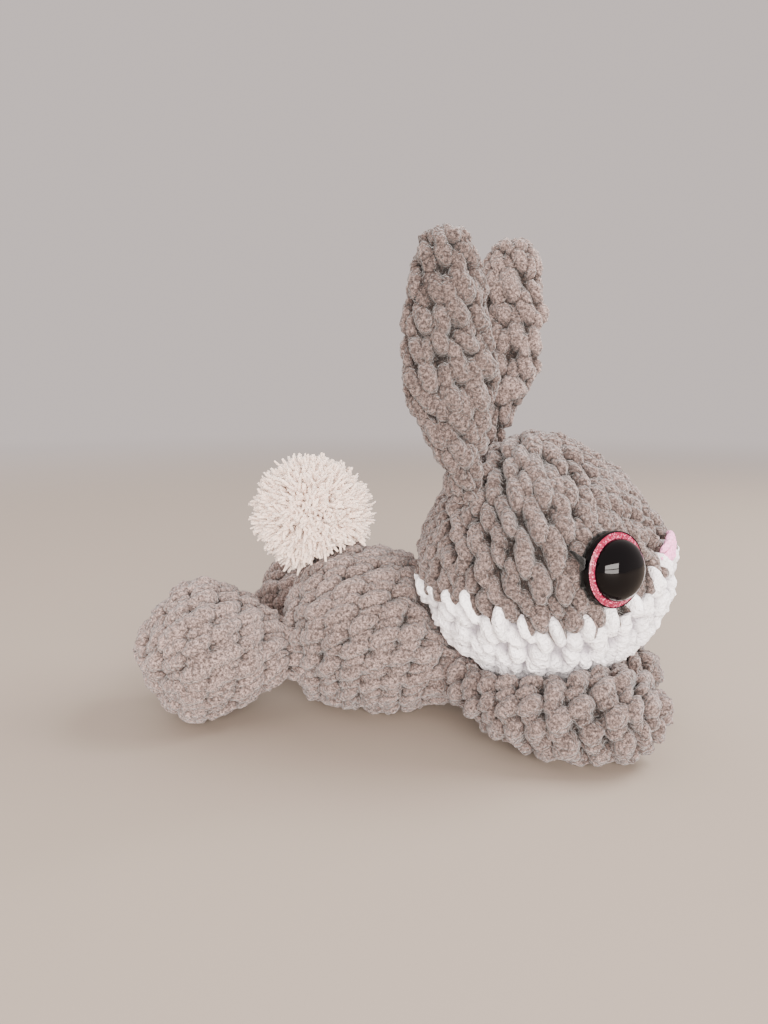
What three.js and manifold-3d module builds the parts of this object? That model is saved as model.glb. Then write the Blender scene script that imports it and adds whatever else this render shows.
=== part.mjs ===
// A crocheted plush rabbit lying on its belly, worked in thick chenille yarn.
//
// Frame: millimetres, +X towards the nose along the trunk, +Y to the rabbit's left, +Z up,
// origin on the floor under the middle of the bounding box. Every stuffed piece is crocheted
// on its own and sewn on, so each is its own closed solid. Neighbours press into each other,
// and the softer one is cut back with a gap of SEAM_GAP.
import * as THREE from 'three';
import * as BufferGeometryUtils from 'three/addons/utils/BufferGeometryUtils.js';
import Module from 'manifold-3d';

const wasm = await Module();
wasm.setup();

// Driving dimensions. Places are measured from the point on the floor under the rump's middle.
const SEAM_GAP = 0.3;
const HEAD = { at: [64, 0, 63.5], radius: 46.5, crown: 46, jaw: 46.5, turn: -18, tilt: 19, nod: -1 };
const CROWN_POWER = 1.6; // 2 is a round crown, less tapers it towards the top
const FOREHEAD_SLOPE = 0.28; // share of the front half's depth that the crown loses
const CHIN_LEVEL = -0.5; // where the white lower half starts, from the head's equator up
const EYE = { radius: 12, dome: 4.2, rim: 0.8 };
const EYE_RIGHT = { side: -1, azimuth: 33, rise: 11.2, look: 24, lookRise: 12, sink: 1.2 };
const EYE_LEFT = { side: 1, azimuth: 48, rise: 8, look: 44, lookRise: 20, sink: 4.4 };
const FELT = { radius: 12.8, thickness: 1.2, lashReach: 16.5, lashSpread: 13, lashAngle: 30 };
const NOSE = { width: 19, height: 6.2, depth: 3.2, azimuth: 6, rise: 5.8 };
const EAR_RIGHT = { root: [39.5, -27, 89], middle: [34.5, -32, 132], tip: [33, -36, 172], turn: 20 };
const EAR_LEFT = { root: [41, 15, 98], middle: [46, 21, 137], tip: [49, 25, 177], turn: -14 };
const TRUNK = { rear: [-37, 7, 33], neck: [47, 1, 24] };
const HIND_RIGHT = { heel: [-79.5, -37, 27.2], hip: [-14, -5, 24] };
const HIND_LEFT = { heel: [-53, 62, 27.2], hip: [-14, 19, 24] };
const FORE_RIGHT = { shoulder: [33, -9, 20], elbow: [60, -29, 17], tip: [109, -25, 17.5] };
const FORE_LEFT = { shoulder: [33, 3, 21], elbow: [62, 12, 16.5], tip: [109, 11, 17] };
const POMPOM = { at: [-25, 6, 73.5], radius: 23.3 };
const FLAT_CUT = 0.8; // how deep the floor presses each soft piece flat

// How plump each stuffed tube is: [share of its length, half size] stations, the share that the
// round cap takes at each end, and the rings and sides of its solid.
const EAR_WIDE = { stations: [[0, 6], [0.2, 10], [0.45, 16.8], [0.72, 14.5], [1, 9.5]], caps: [0.02, 0.16] };
const EAR_DEEP = { stations: [[0, 6.5], [0.25, 7.5], [0.7, 7.5], [1, 6.5]], caps: [0.02, 0.12] };
const TRUNK_GIRTH = {
  stations: [[0, 24], [0.2, 32], [0.42, 33.5], [0.62, 30.5], [0.82, 21], [1, 15]],
  caps: [0.3, 0.12],
};
const HIND_GIRTH = { stations: [[0, 20], [0.3, 27.5], [0.55, 22], [0.78, 12], [1, 9]], caps: [0.34, 0.1] };
const FORE_GIRTH = { stations: [[0, 9], [0.3, 13], [0.62, 17.5], [0.85, 16.5], [1, 13]], caps: [0.1, 0.2] };
const EAR_FACETS = { rings: 16, sides: 20 };
const TRUNK_FACETS = { rings: 18, sides: 24 };
const HIND_FACETS = { rings: 15, sides: 20 };
const FORE_FACETS = { rings: 14, sides: 18 };
const HEAD_FACETS = { rings: 20, sides: 32 };
const EYE_FACETS = { rings: 8, sides: 28 };
const BEYOND = 400; // farther than any point of the rabbit

const YARN_GREY = { color: 0x9b9089, roughness: 0.95, metalness: 0 };
const YARN_WHITE = { color: 0xf1eeee, roughness: 0.95, metalness: 0 };
const YARN_PINK = { color: 0xf2b3c4, roughness: 0.9, metalness: 0 };
const YARN_CREAM = { color: 0xeee3dc, roughness: 0.95, metalness: 0 };
const FELT_BLACK = { color: 0x17151a, roughness: 0.95, metalness: 0 };
const EYE_PLASTIC = { color: 0x08080a, roughness: 0.08, metalness: 0 };

const DEGREE = Math.PI / 180;
const vector = (point) => new THREE.Vector3(...point);

function toSolid(geometry) {
  const bare = geometry.clone();
  bare.deleteAttribute('normal');
  bare.deleteAttribute('uv');
  const merged = BufferGeometryUtils.mergeVertices(bare, 1e-4);
  const vertProperties = new Float32Array(merged.attributes.position.array);
  const triVerts = new Uint32Array(merged.index.array);
  return new wasm.Manifold(new wasm.Mesh({ numProp: 3, vertProperties, triVerts }));
}

function toGeometry(solid) {
  const mesh = solid.getMesh();
  const geometry = new THREE.BufferGeometry();
  geometry.setAttribute('position', new THREE.BufferAttribute(mesh.vertProperties, 3));
  geometry.setIndex(new THREE.BufferAttribute(mesh.triVerts, 1));
  return geometry;
}

function placed(geometry, matrix) {
  return toSolid(geometry.clone().applyMatrix4(matrix));
}

// A round stuffed tube along a smooth spine. radiusAt(share) gives [across, through], the half
// sizes of the ring at that share of the length; both ends close in a pole.
function stuffedTube({ spine, radiusAt, across, rings, sides }) {
  const curve = new THREE.CatmullRomCurve3(spine.map(vector));
  const positions = [];
  const index = [];
  const ringStart = (ring) => 1 + (ring - 1) * sides;
  for (let ring = 0; ring <= rings; ring += 1) {
    const share = (1 - Math.cos((Math.PI * ring) / rings)) / 2;
    const centre = curve.getPointAt(share);
    if (ring === 0 || ring === rings) {
      positions.push(...centre.toArray());
      continue;
    }
    const along = curve.getTangentAt(share);
    const wide = across.clone().addScaledVector(along, -across.dot(along)).normalize();
    const thick = new THREE.Vector3().crossVectors(along, wide);
    const [halfWide, halfThick] = radiusAt(share);
    for (let side = 0; side < sides; side += 1) {
      const angle = (2 * Math.PI * side) / sides;
      const point = centre.clone().addScaledVector(wide, halfWide * Math.cos(angle));
      positions.push(...point.addScaledVector(thick, halfThick * Math.sin(angle)).toArray());
    }
  }
  const last = ringStart(rings);
  for (let side = 0; side < sides; side += 1) {
    const next = (side + 1) % sides;
    index.push(0, ringStart(1) + next, ringStart(1) + side);
    index.push(last, ringStart(rings - 1) + side, ringStart(rings - 1) + next);
    for (let ring = 1; ring < rings - 1; ring += 1) {
      const here = ringStart(ring);
      const after = ringStart(ring + 1);
      index.push(here + side, here + next, after + next, here + side, after + next, after + side);
    }
  }
  const geometry = new THREE.BufferGeometry();
  geometry.setAttribute('position', new THREE.Float32BufferAttribute(positions, 3));
  geometry.setIndex(index);
  return geometry;
}

// Half sizes at a share of the length: a smooth line through named stations, rounded at both
// ends over the share that each cap takes.
function plumpness({ stations, caps: [startCap, endCap] }) {
  const knots = stations.map(([share, size]) => new THREE.Vector3(share, size, 0));
  const line = new THREE.CatmullRomCurve3(knots);
  const samples = line.getPoints(200);
  const cap = (distance, length) => {
    const rest = Math.max(0, 1 - distance / length);
    return Math.sqrt(Math.max(0, 1 - rest * rest));
  };
  return (share) => {
    const after = Math.max(1, samples.findIndex((sample) => sample.x >= share));
    const before = samples[after - 1];
    const step = (share - before.x) / (samples[after].x - before.x || 1);
    const size = before.y + (samples[after].y - before.y) * step;
    return size * cap(share, startCap) * cap(1 - share, endCap);
  };
}

// Head frame: the head's own forward, left and up, turned and tilted at the neck.
function headFrame() {
  const turn = new THREE.Matrix4().makeRotationZ(HEAD.turn * DEGREE);
  const tilt = new THREE.Matrix4().makeRotationX(HEAD.tilt * DEGREE);
  const nod = new THREE.Matrix4().makeRotationY(HEAD.nod * DEGREE);
  const move = new THREE.Matrix4().makeTranslation(...HEAD.at);
  return move.multiply(turn).multiply(tilt).multiply(nod);
}

// The head's half width at a height over its equator. The crown tapers more than the jaw.
function headReach(height) {
  const power = height > 0 ? CROWN_POWER : 2;
  const share = Math.min(1, Math.abs(height) / (height > 0 ? HEAD.crown : HEAD.jaw));
  return HEAD.radius * (1 - share ** power) ** (1 / power);
}

// The forehead slopes back: in front, a point over the equator lies nearer the head's axis.
function foreheadX(x, height) {
  const rise = Math.max(0, height) / HEAD.crown;
  return x > 0 ? x * (1 - FOREHEAD_SLOPE * Math.min(1, rise)) : x;
}

function headBall(extra) {
  const outline = [];
  const steps = HEAD_FACETS.rings;
  for (let step = 0; step <= steps; step += 1) {
    const angle = Math.PI * (step / steps - 0.5);
    const height = Math.sin(angle) * (angle > 0 ? HEAD.crown : HEAD.jaw);
    const grow = extra * Math.cos(angle);
    const reach = step % steps === 0 ? 0 : headReach(height) + grow;
    outline.push(new THREE.Vector2(reach, height + extra * Math.sin(angle)));
  }
  const ball = new THREE.LatheGeometry(outline, HEAD_FACETS.sides).rotateX(Math.PI / 2);
  const place = ball.getAttribute("position");
  for (let index = 0; index < place.count; index += 1) {
    place.setX(index, foreheadX(place.getX(index), place.getZ(index)));
  }
  return placed(ball, headFrame());
}

// Everything between two levels of a frame.
function layer(low, high, frame) {
  const slab = new THREE.BoxGeometry(2 * BEYOND, 2 * BEYOND, high - low).translate(0, 0, (high + low) / 2);
  return placed(slab, frame);
}

// Where a point of the face lies on the head, in the head's own frame.
function onHead(azimuth, rise) {
  const reach = headReach(rise);
  const x = foreheadX(reach * Math.cos(azimuth * DEGREE), rise);
  return new THREE.Vector3(x, reach * Math.sin(azimuth * DEGREE), rise);
}

// Frame of one eye: its Z looks out of the face, its X up to the crown.
function eyeFrame(eye) {
  const look = new THREE.Vector3(1, 0, 0)
    .applyAxisAngle(new THREE.Vector3(0, 1, 0), -eye.lookRise * DEGREE)
    .applyAxisAngle(new THREE.Vector3(0, 0, 1), eye.side * eye.look * DEGREE);
  const seat = onHead(eye.side * eye.azimuth, eye.rise).addScaledVector(look, -eye.sink);
  const up = new THREE.Vector3(0, 0, 1).addScaledVector(look, -look.z).normalize();
  const across = new THREE.Vector3().crossVectors(look, up);
  return headFrame().multiply(new THREE.Matrix4().makeBasis(up, across, look).setPosition(seat));
}

function eyeDome(eye, extra) {
  const radius = EYE.radius + extra;
  const profilePoints = [new THREE.Vector2(0, -extra), new THREE.Vector2(radius, -extra)];
  profilePoints.push(new THREE.Vector2(radius, EYE.rim));
  const steps = EYE_FACETS.rings;
  for (let step = 1; step <= steps; step += 1) {
    const angle = (Math.PI / 2) * (step / steps);
    const out = EYE.rim + (EYE.dome + extra) * Math.sin(angle);
    profilePoints.push(new THREE.Vector2(step === steps ? 0 : radius * Math.cos(angle), out));
  }
  const dome = new THREE.LatheGeometry(profilePoints, EYE_FACETS.sides).rotateX(Math.PI / 2);
  return placed(dome, eyeFrame(eye));
}

// The felt washer behind an eye: a disc with one pointed lash at its outer edge.
function eyeFelt(eye, extra) {
  const shape = new THREE.Shape();
  shape.absarc(0, 0, FELT.radius + extra, 0, 2 * Math.PI, false);
  const depth = FELT.thickness + 2 * extra;
  const disc = new THREE.ExtrudeGeometry(shape, { depth, bevelEnabled: false, curveSegments: 16 });
  disc.translate(0, 0, -SEAM_GAP - FELT.thickness - extra);
  const lash = new THREE.Shape();
  const onFelt = (radius, angle) => {
    const turn = (90 - angle) * DEGREE;
    return [radius * Math.cos(turn), -eye.side * radius * Math.sin(turn)];
  };
  lash.moveTo(...onFelt(FELT.radius - 1, FELT.lashAngle - FELT.lashSpread));
  lash.lineTo(...onFelt(FELT.lashReach, FELT.lashAngle));
  lash.lineTo(...onFelt(FELT.radius - 1, FELT.lashAngle + FELT.lashSpread));
  const tip = new THREE.ExtrudeGeometry(lash, { depth, bevelEnabled: false });
  tip.translate(0, 0, -SEAM_GAP - FELT.thickness - extra);
  return placed(disc, eyeFrame(eye)).add(placed(tip, eyeFrame(eye)));
}

function noseBar() {
  const bar = new THREE.SphereGeometry(1, 16, 12);
  bar.scale(NOSE.depth, NOSE.width / 2, NOSE.height / 2);
  const seat = onHead(NOSE.azimuth, NOSE.rise);
  return placed(bar.translate(seat.x, seat.y, seat.z), headFrame());
}

function earTube(ear) {
  const wide = plumpness(EAR_WIDE);
  const deep = plumpness(EAR_DEEP);
  const across = new THREE.Vector3(Math.cos(ear.turn * DEGREE), Math.sin(ear.turn * DEGREE), 0);
  const radiusAt = (share) => [wide(share), deep(share)];
  return toSolid(stuffedTube({ spine: [ear.root, ear.middle, ear.tip], radiusAt, across, ...EAR_FACETS }));
}

function roundTube(spine, girth, extra, facets) {
  const size = plumpness(girth);
  const radiusAt = (share) => [size(share) + extra, size(share) + extra];
  return toSolid(stuffedTube({ spine, radiusAt, across: new THREE.Vector3(0, 1, 0), ...facets }));
}

const halfway = (start, end) => vector(start).lerp(vector(end), 0.5).toArray();

function trunkTube(extra) {
  const spine = [TRUNK.rear, halfway(TRUNK.rear, TRUNK.neck), TRUNK.neck];
  return roundTube(spine, TRUNK_GIRTH, extra, TRUNK_FACETS);
}

function hindTube(leg, extra) {
  return roundTube([leg.heel, halfway(leg.heel, leg.hip), leg.hip], HIND_GIRTH, extra, HIND_FACETS);
}

function foreTube(leg, extra) {
  return roundTube([leg.shoulder, leg.elbow, leg.tip], FORE_GIRTH, extra, FORE_FACETS);
}

function pompomBall() {
  const ball = new THREE.IcosahedronGeometry(POMPOM.radius, 4);
  return toSolid(ball.translate(...POMPOM.at));
}

const level = new THREE.Matrix4();
const aboveFloor = (solid) => solid.intersect(layer(FLAT_CUT, BEYOND, level));

// The head is one ball of two colours: grey from CHIN_LEVEL up, white below.
function headPieces() {
  const frame = headFrame();
  const pieces = {};
  let ball = headBall(0);
  for (const [side, eye] of [['right', EYE_RIGHT], ['left', EYE_LEFT]]) {
    pieces[`eye_${side}`] = { solid: eyeDome(eye, 0), look: EYE_PLASTIC };
    pieces[`eye_felt_${side}`] = { solid: eyeFelt(eye, 0), look: FELT_BLACK };
    ball = ball.subtract(eyeDome(eye, SEAM_GAP)).subtract(eyeFelt(eye, SEAM_GAP));
  }
  const crown = layer(CHIN_LEVEL + SEAM_GAP / 2, BEYOND, frame);
  const jaw = layer(-BEYOND, CHIN_LEVEL - SEAM_GAP / 2, frame);
  pieces.head = { solid: ball.intersect(crown), look: YARN_GREY };
  pieces.chin = { solid: ball.intersect(jaw), look: YARN_WHITE };
  return pieces;
}

function headTrim() {
  const keepOff = headBall(SEAM_GAP);
  return {
    nose: { solid: noseBar().subtract(keepOff), look: YARN_PINK },
    ear_right: { solid: earTube(EAR_RIGHT).subtract(keepOff), look: YARN_GREY },
    ear_left: { solid: earTube(EAR_LEFT).subtract(keepOff), look: YARN_GREY },
  };
}

function bodyPieces() {
  const head = headBall(SEAM_GAP);
  const headAndTrunk = trunkTube(SEAM_GAP).add(head);
  const limb = (tube) => aboveFloor(tube.subtract(headAndTrunk));
  const hindLeft = limb(hindTube(HIND_LEFT, 0)).subtract(hindTube(HIND_RIGHT, SEAM_GAP));
  const foreLeft = limb(foreTube(FORE_LEFT, 0)).subtract(foreTube(FORE_RIGHT, SEAM_GAP));
  return {
    trunk: { solid: aboveFloor(trunkTube(0).subtract(head)), look: YARN_GREY },
    hindleg_right: { solid: limb(hindTube(HIND_RIGHT, 0)), look: YARN_GREY },
    hindleg_left: { solid: hindLeft, look: YARN_GREY },
    foreleg_right: { solid: limb(foreTube(FORE_RIGHT, 0)), look: YARN_GREY },
    foreleg_left: { solid: foreLeft, look: YARN_GREY },
    tail: { solid: pompomBall().subtract(headAndTrunk), look: YARN_CREAM },
  };
}

const rabbit = new THREE.Group();
const pieces = { ...headPieces(), ...headTrim(), ...bodyPieces() };
for (const [name, { solid, look }] of Object.entries(pieces)) {
  const mesh = new THREE.Mesh(toGeometry(solid), new THREE.MeshStandardMaterial(look));
  mesh.name = name;
  rabbit.add(mesh);
}
const bounds = new THREE.Box3().setFromObject(rabbit);
const middle = bounds.getCenter(new THREE.Vector3());
rabbit.position.set(-middle.x, -middle.y, -bounds.min.z);
rabbit.updateMatrixWorld(true);

export default rabbit;
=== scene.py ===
"""A crocheted plush rabbit lying on its belly: the looks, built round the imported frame.

Every stuffed piece is one closed skin of single-crochet stitches. Its base is the piece's own CAD
surface, and each stitch is a plump yarn lobe with a second, deeper one beside it, laid in rounds
along the piece. Lengths are in millimetres until a mesh is made, and MM turns them into metres.
"""

import itertools
import math
from dataclasses import dataclass

import bpy
import numpy as np
from mathutils import Matrix, Vector
from mathutils.bvhtree import BVHTree


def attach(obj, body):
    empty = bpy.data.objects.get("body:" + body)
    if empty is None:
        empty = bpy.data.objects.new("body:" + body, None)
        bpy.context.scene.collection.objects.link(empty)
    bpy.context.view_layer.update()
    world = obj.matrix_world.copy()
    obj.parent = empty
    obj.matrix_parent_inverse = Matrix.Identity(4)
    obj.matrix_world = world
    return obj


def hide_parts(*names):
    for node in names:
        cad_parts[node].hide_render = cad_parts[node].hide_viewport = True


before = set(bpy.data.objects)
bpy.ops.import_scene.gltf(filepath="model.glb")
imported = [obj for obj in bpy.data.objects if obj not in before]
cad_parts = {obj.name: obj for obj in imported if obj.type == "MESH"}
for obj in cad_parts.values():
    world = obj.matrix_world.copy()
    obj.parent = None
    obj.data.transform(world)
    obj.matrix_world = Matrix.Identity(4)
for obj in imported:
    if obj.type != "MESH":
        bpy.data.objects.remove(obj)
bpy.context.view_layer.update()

MM = 0.001
UP = np.array([0.0, 0.0, 1.0])
RIGHTWARD = np.array([1.0, 0.0, 0.0])

# Camera, in millimetres and degrees, in the row frame.
CAMERA_PLACE = (64.9, -306.1, 126.2)
CAMERA_TURN = 14.0
CAMERA_DOWN = 9.42
CAMERA_LENS = 29.25

BACKDROP = "#e0d3cf"
BACKDROP_GLOW = 1.05
LIGHT_AIM = (0.02, 0, 0.07)  # metres

GRID = 0.52  # mm between the points of a stitched skin
FLOOR_SHARE = -0.15  # height of the deepest hollows between lobes, a share of a lobe's own
NO_STITCH = -9.0  # mm, a height where there is no lobe at all
UNWORKED = -2.4  # mm, how deep the skin lies where the other yarn is worked
CREASE_HALF = 0.9  # mm of height over which the gap between two lobes is painted darker, as painted shade
CREASE_EDGE = 1.3  # how dark creases are painted, as painted shade, because they're edges, and because they're deep
CREASE_DEEP = 0.9
ROUND_TOP = 0.88  # share of a lobe's spread that is a round top, before its straight flank
FLANK_TOP = 0.346  # height where the flank starts, and its fall, as shares of the lobe's own
FLANK_FALL = 1.44
SETTLED = 15.0  # mm from the ends of a piece at which tilted rounds have their whole tilt
POLE_RADIUS = 3.4  # mm, the gathered tuft that closes the end of a piece
POLE_HEIGHT = 0.8  # a share of a lobe's own
CLEAR_OF_FLOOR = 0.15  # mm
# How far stitches stray: aside and ahead in stitches, in size, in mm of height, and in radians.
STRAY = (0.05, 0.05, 0.07, 0.30, 0.12)
PROUD = 0.1  # mm that the lobes' tops stand over the CAD surface
ROOMY = 1.1  # how many times narrower than usual a stitch gets before its strands do
CURL = 0.4  # how far a lobe bends aside, a share of its half width
LOBE_ENDS = 2.4  # how blunt its ends are, a power


@dataclass
class Lobe:
    """One strand of a stitch, a plump capsule, measured in mm."""

    aside: float  # place along the round, a share of the stitch's width
    ahead: float  # place along the piece, a share of the round's height
    long: float  # half length
    wide: float  # half width
    thick: float  # height over the fabric's floor
    slant: float  # degrees away from the piece's length
    proud_end: float = 0.5  # how much higher the far end lies than the near one


@dataclass
class Fabric:
    """One way of working the yarn. Its first lobe is the plump one, its second lies deeper."""

    rise: float  # mm between rounds
    width: float  # mm between the stitches of a round
    stagger: float  # sideways step from round to round, a share of a stitch
    lobes: tuple
    loose: float = 1  # 1 is an ordinary hand, more is a more uneven one
    swirl: float = 0  # how many stitches more the first rounds step sideways
    pull: tuple = (0, 0)  # degrees the stitches lean over, and where round the piece they lean most
    tilt: float = 0  # how far the rounds lean back along the piece's top, a share of a round
    slim: tuple = (0, 0)  # how much slimmer the strands get on one side, as a share, and on which


HEAD_FABRIC = Fabric(
    rise=8.9, width=9.7, stagger=0.14,
    lobes=(Lobe(0.0, -0.20, 5.3, 3.55, 3.2, -4, 1.1), Lobe(0.5, 0.34, 5.0, 3.15, 2.8, 6, 0.9)),
    loose=1.3, swirl=0.4, pull=(28, -156), slim=(0.08, -118),
)
BODY_FABRIC = Fabric(
    rise=9.0, width=10.7, stagger=0.09,
    lobes=(Lobe(0.0, 0.0, 7.2, 3.6, 3.5, -43), Lobe(0.5, 0.1, 6.0, 2.65, 2.6, -43)),
)
FOOT_FABRIC = Fabric(
    rise=10.6, width=10.0, stagger=0.36,
    lobes=(Lobe(0.0, 0.0, 7.8, 3.65, 3.3, -36), Lobe(0.5, 0.1, 6.2, 2.6, 2.4, -36)),
)
ARM_FABRIC = Fabric(
    rise=8.0, width=11.4, stagger=0.33,
    lobes=(Lobe(0.0, 0.0, 6.8, 3.25, 4.5, -63, 0.7), Lobe(0.5, 0.12, 4.9, 2.45, 3.2, -58)),
    loose=1.1, tilt=0.45,
)
EAR_FABRIC = Fabric(
    rise=9.2, width=9.8, stagger=0.36,
    lobes=(Lobe(0.0, 0.0, 5.9, 3.4, 3.2, -34, 0.7), Lobe(0.5, 0.3, 4.8, 2.8, 2.6, -20)),
    loose=1.9,
)
# The strands of the round where the yarn changes: a white spike up over the grey, and its foot.
SPIKES = (Lobe(0.36, -0.50, 6.2, 2.5, 4.4, 12, -0.8), Lobe(-0.14, 0.0, 4.9, 3.1, 3.1, 12, 0.6))


def linear(hex_colour):
    """An sRGB hex colour as linear RGBA."""
    parts = [int(hex_colour[i : i + 2], 16) / 255 for i in (1, 3, 5)]
    return [p / 12.92 if p <= 0.04045 else ((p + 0.055) / 1.055) ** 2.4 for p in parts] + [1.0]


# ---- reading the frame


def triples(items, key, kind=float):
    """One property of a mesh's vertices or triangles, three numbers for each."""
    values = np.zeros(len(items) * 3, kind)
    items.foreach_get(key, values)
    return values.reshape(-1, 3)


def corners_of(*nodes):
    """The corners of the triangles of CAD nodes, as an array [triangle, corner, xyz] in mm."""
    found = []
    for name in nodes:
        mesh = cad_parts[name].data
        mesh.calc_loop_triangles()
        index = triples(mesh.loop_triangles, "vertices", int)
        found.append(triples(mesh.vertices, "co")[index] / MM)
    return np.concatenate(found)


def places_of(node):
    """Every corner of a CAD node, as an array [corner, xyz] in mm."""
    return corners_of(node).reshape(-1, 3)


def tree_of(*nodes, without=None):
    """A ray-cast tree over CAD nodes. without is a plane (point, normal) whose own faces are left out."""
    corners = corners_of(*nodes)
    if without is not None:
        on_plane = np.abs((corners - without[0]) @ without[1]).max(1) < 1.0
        corners = corners[~on_plane]
    faces = np.arange(len(corners) * 3).reshape(-1, 3)
    return BVHTree.FromPolygons(corners.reshape(-1, 3).tolist(), faces.tolist())


def lengths(vectors):
    return np.linalg.norm(vectors, axis=-1)


def unit(vectors):
    return vectors / np.maximum(lengths(vectors), 1e-9)[..., None]


def crosses(corners):
    """Each triangle's normal, as long as twice its area."""
    return np.cross(corners[:, 1] - corners[:, 0], corners[:, 2] - corners[:, 0])


def flat_of(node):
    """The middle and the outward normal of a node's largest flat face."""
    corners = corners_of(node)
    area = lengths(crosses(corners)) / 2
    normals = unit(crosses(corners))
    shared = [area[normals @ n > 0.9995].sum() for n in normals[np.argsort(-area)[:60]]]
    normal = normals[np.argsort(-area)[int(np.argmax(shared))]]
    member = normals @ normal > 0.9995
    middle = np.average(corners[member].mean(1), axis=0, weights=area[member])
    return middle, normal


SPINE_SLICES = 14
SPINE_DEGREE = 2  # a long piece bends one way only


def spine_of(node, start_near, toward=None):
    """The middle line of a long piece as a function of a share 0 to 1, and its length.

    toward, if given, is a place that a nearly round piece points at with its far end.
    """
    corners = corners_of(node)
    middles = corners.mean(1)
    area = lengths(crosses(corners))
    centre = np.average(middles, axis=0, weights=area)
    spread = ((middles - centre).T * area) @ (middles - centre)
    axis = np.linalg.eigh(spread)[1][:, 2] if toward is None else unit(toward - centre)
    if (np.array(start_near) - centre) @ axis > 0:
        axis = -axis
    along = (corners.reshape(-1, 3) - centre) @ axis
    low, high = along.min(), along.max()
    slices = np.linspace(low, high, SPINE_SLICES + 1)
    here = (middles - centre) @ axis
    knots, places = [], []
    for first, last in zip(slices[:-1], slices[1:]):
        member = (here >= first) & (here <= last)
        if area[member].sum() > 0:
            knots.append((first + last) / 2)
            places.append(np.average(middles[member], axis=0, weights=area[member]))
    knots, places = np.array(knots), np.array(places)
    curves = [np.polyfit(knots[1:-1], places[1:-1, k], SPINE_DEGREE) for k in range(3)]

    def spine(share):
        at = low + (high - low) * np.asarray(share)
        return np.stack([np.polyval(curve, at) for curve in curves], -1)

    return spine, high - low


# ---- smooth base surfaces


def cast(tree, sources, directions):
    """Rings where rays from inside meet the skin. The first and the last are drawn into a pole.

    A ray that meets nothing takes its ring's usual reach.
    """
    reach = np.full(directions.shape[:2], np.nan)
    for i, j in np.ndindex(reach.shape):
        hit = tree.ray_cast(Vector(sources[i]), Vector(directions[i, j]))
        if hit[3] is not None:
            reach[i, j] = hit[3]
    typical = np.nanmedian(reach, axis=1, keepdims=True)
    reach = np.where(np.isnan(reach), typical, reach)
    grid = sources[:, None, :] + directions * reach[..., None]
    grid[0] = grid[0].mean(0)
    grid[-1] = grid[-1].mean(0)
    return grid


def blur(grid, passes):
    """Evens a grid of points out, round each ring and from ring to ring."""
    for _ in range(passes):
        grid = (np.roll(grid, 1, 1) + 2 * grid + np.roll(grid, -1, 1)) / 4
        inner = (grid[:-2] + 2 * grid[1:-1] + grid[2:]) / 4
        grid = np.concatenate([grid[:1], inner, grid[-1:]])
    return grid


def turns(count):
    """Angles evenly round a circle."""
    return np.arange(count) * 2 * math.pi / count


def spokes(side, third, count):
    """Unit vectors evenly round each ring, from two directions across it: [ring, spoke, xyz]."""
    turn = turns(count)
    return side[:, None] * np.cos(turn)[None, :, None] + third[:, None] * np.sin(turn)[None, :, None]


def even_rings(grid):
    """The same rings with their points evenly spaced round the ring."""
    shares = np.arange(grid.shape[1]) / grid.shape[1]
    even = []
    for ring in np.concatenate([grid, grid[:, :1]], 1):
        run = np.concatenate([[0], np.cumsum(lengths(np.diff(ring, axis=0)))])
        even.append([np.interp(shares * run[-1], run, ring[:, k]) for k in range(3)])
    return np.array(even).transpose(0, 2, 1)


def ring_run(grid):
    """Mean distance along the piece to each ring."""
    steps = lengths(np.diff(grid, axis=0)).mean(1)
    return np.concatenate([[0], np.cumsum(steps)])


def girths(grid):
    return lengths(grid - np.roll(grid, -1, 1)).sum(1)


def refine(grid, spacing):
    """The grid again, with about the wanted distance between its points both ways."""
    run = ring_run(grid)
    rings = int(run[-1] / spacing)
    sides = int(girths(grid).max() / spacing)
    wanted = np.linspace(0, run[-1], rings + 1)
    place = np.interp(wanted, run, np.arange(len(run)))
    low = np.minimum(place.astype(int), len(run) - 2)
    share = (place - low)[:, None, None]
    lengthwise = grid[low] * (1 - share) + grid[low + 1] * share
    turn = np.arange(sides) / sides * grid.shape[1]
    left = turn.astype(int)
    part = (turn - left)[None, :, None]
    right = (left + 1) % grid.shape[1]
    return lengthwise[:, left] * (1 - part) + lengthwise[:, right] * part


def normals_of(grid, inside):
    """Outward normals of a closed grid whose first and last rings are poles."""
    around = np.roll(grid, -1, 1) - np.roll(grid, 1, 1)
    along = np.gradient(grid, axis=0)
    normals = unit(np.cross(around, along))
    outward = unit(grid - inside[:, None, :])
    flip = np.sign((normals * outward).sum(2).mean())
    normals = normals * flip
    for pole, ring in ((0, 2), (-1, -3)):
        normals[pole] = unit(normals[ring].mean(0))
    return unit(blur(normals, 2))


def blunted(grid, amount=0.7, reach=8.0):
    """A tube whose first end is fuller: its first rings, reach mm of them, are spread."""
    middle = grid.mean(1, keepdims=True)
    fuller = 1 + amount * np.exp(-((ring_run(grid) / reach) ** 2))
    return middle + (grid - middle) * fuller[:, None, None]


def carried_in(grid, start, depth, steps=16):
    """A tube whose far end, from a distance along it on, is carried straight into its neighbour."""
    run = ring_run(grid)
    last = int(np.searchsorted(run, start))
    ring, middle = grid[last], grid[last].mean(0)
    ahead = unit(middle - grid[last - 12].mean(0))
    share = np.linspace(0, 1, steps + 1)[1:, None, None]
    narrowing = (1 - 0.25 * share) * np.sqrt(np.maximum(0, 1 - share**4))
    added = middle + (ring - middle)[None] * narrowing + share * depth * ahead
    return np.concatenate([grid[: last + 1], added])


BASE_RINGS = 170
TUBE_SIDES = 96
HEAD_SIDES = 128


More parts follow.
